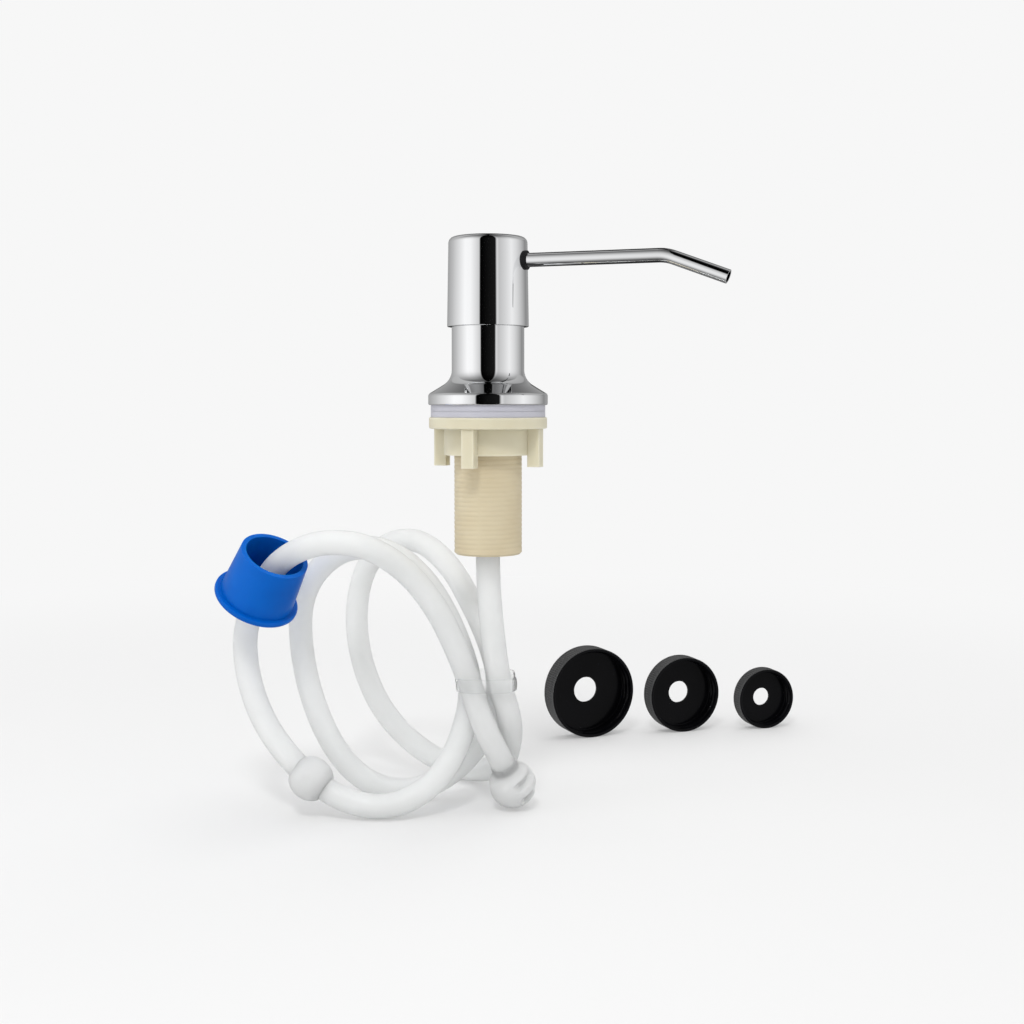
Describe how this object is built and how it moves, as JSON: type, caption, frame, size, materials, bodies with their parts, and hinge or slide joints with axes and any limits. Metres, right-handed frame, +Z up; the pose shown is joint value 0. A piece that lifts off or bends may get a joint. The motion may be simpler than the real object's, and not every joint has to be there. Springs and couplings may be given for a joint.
{
  "type": "soap pump dispenser",
  "caption": "Deck-mounted soap pump with a press head and bent spout, a threaded shank with nut, a coiled extension tube with foot valve and stopper, and bottle caps.",
  "frame": {"origin": "on the pump's axis at the deck's top face, under the upper gasket", "axes": "+Z up along the pump's axis, +X along the spout at rest, -Z the way the shank goes through the deck"},
  "size_m": [0.195, 0.2361, 0.2244],
  "materials": {
    "chrome": "polished",
    "cream_abs": "satin moulded",
    "pale_gasket": "satin",
    "black_rubber": "matte",
    "white_plastic": "satin",
    "steel": "bright",
    "silicone_tube": "satin translucent",
    "clear_band": "clear",
    "milky_plastic": "satin",
    "blue_plastic": "satin",
    "black_plastic": "gloss inside, ribbed outside"
  },
  "bodies": {
    "base": {"collar": "chrome", "shank": "cream_abs", "deck_gasket": "pale_gasket", "cylinder_gasket": "black_rubber", "pump_cylinder": "white_plastic", "cylinder_closure": "white_plastic", "stem_guide": "white_plastic", "pump_spring": "steel", "supply_tube": "silicone_tube", "tube_band": "clear_band", "tube_joiner": "milky_plastic", "foot_valve_body": "milky_plastic", "foot_valve_seat": "milky_plastic", "foot_valve_strainer": "milky_plastic"},
    "plunger": {"stem": "white_plastic", "piston": "white_plastic", "piston_seal": "black_rubber"},
    "head": {"press_button": "chrome", "head_core": "white_plastic", "spout": "chrome", "spout_seal": "black_rubber"},
    "washer": {"nut_washer": "pale_gasket"},
    "nut": {"lock_nut": "cream_abs"},
    "suction_check": {"suction_ball": "steel"},
    "outlet_check": {"outlet_ball": "steel"},
    "foot_check": {"foot_valve_ball": "steel"},
    "stopper": {"bottle_stopper": "blue_plastic"},
    "large_cap": {"large_bottle_cap": "black_plastic"},
    "medium_cap": {"medium_bottle_cap": "black_plastic"},
    "small_cap": {"small_bottle_cap": "black_plastic"}
  },
  "joints": [
    {"name": "pump_press", "type": "slide", "parent": "base", "child": "plunger", "axis": [0, 0, -1], "range_m": [0, 0.015], "stiffness_N_per_m": 450, "springref_m": -0.02, "deforming": ["pump_spring"]},
    {"name": "head_swivel", "type": "hinge", "parent": "plunger", "child": "head", "pos_m": [0, 0, 0.058], "axis": [0, 0, 1], "continuous": true},
    {"name": "nut_travel", "type": "slide", "parent": "base", "child": "washer", "axis": [0, 0, -1], "range_m": [0, 0.036]},
    {"name": "nut_spin", "type": "hinge", "parent": "washer", "child": "nut", "pos_m": [0, 0, -0.01], "axis": [0, 0, 1], "range_deg": [-7100, 0]},
    {"name": "suction_lift", "type": "slide", "parent": "base", "child": "suction_check", "axis": [0, 0, 1], "range_m": [0, 0.0015]},
    {"name": "outlet_lift", "type": "slide", "parent": "plunger", "child": "outlet_check", "axis": [0, 0, 1], "range_m": [0, 0.0015]},
    {"name": "foot_lift", "type": "slide", "parent": "base", "child": "foot_check", "axis": [-0.2524, -0.4249, 0.8693], "range_m": [0, 0.0012]},
    {"name": "stopper_slide", "type": "slide", "parent": "base", "child": "stopper", "axis": [0.5245, -0.2328, 0.819], "range_m": [-0.003, 0.003]},
    {"name": "large_cap_lift", "type": "slide", "parent": "base", "child": "large_cap", "axis": [0, 0, 1], "range_m": [0, 0.03]},
    {"name": "medium_cap_lift", "type": "slide", "parent": "base", "child": "medium_cap", "axis": [0, 0, 1], "range_m": [0, 0.03]},
    {"name": "small_cap_lift", "type": "slide", "parent": "base", "child": "small_cap", "axis": [0, 0, 1], "range_m": [0, 0.03]}
  ],
  "couplings": [
    {"joint": "nut_travel", "follows": "nut_spin", "m_per_rad": -0.00028871}
  ]
}
